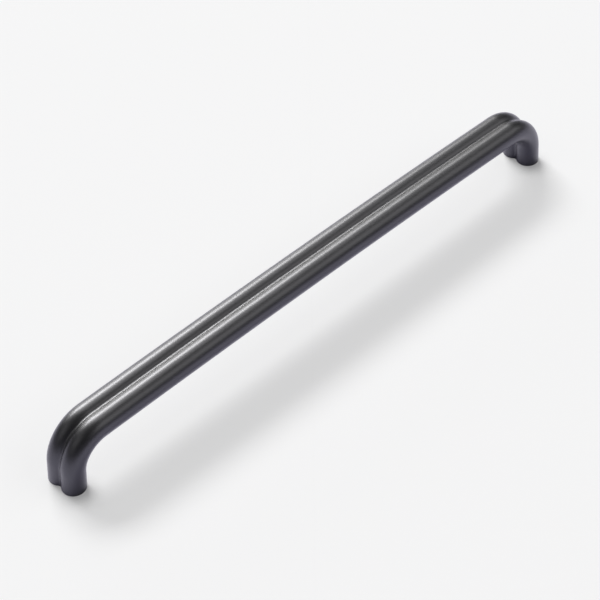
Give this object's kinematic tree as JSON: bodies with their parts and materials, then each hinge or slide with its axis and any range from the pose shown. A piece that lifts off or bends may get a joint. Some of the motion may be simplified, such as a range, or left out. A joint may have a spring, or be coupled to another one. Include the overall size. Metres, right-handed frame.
{
  "type": "cabinet pull",
  "caption": "Twin-bar cabinet pull: two round lobes joined side by side with a groove between them, bent down at both ends into legs with flat tapped feet.",
  "frame": {"origin": "on the door face, which the flat feet rest on, midway between the screw holes", "axes": "+X along the bar from one foot to the other, +Y across the lobes, +Z away from the door"},
  "size_m": [0.332, 0.0212, 0.035],
  "materials": {
    "graphite_finish": "satin"
  },
  "bodies": {
    "root": {"pull_body": "graphite_finish"}
  },
  "joints": []
}
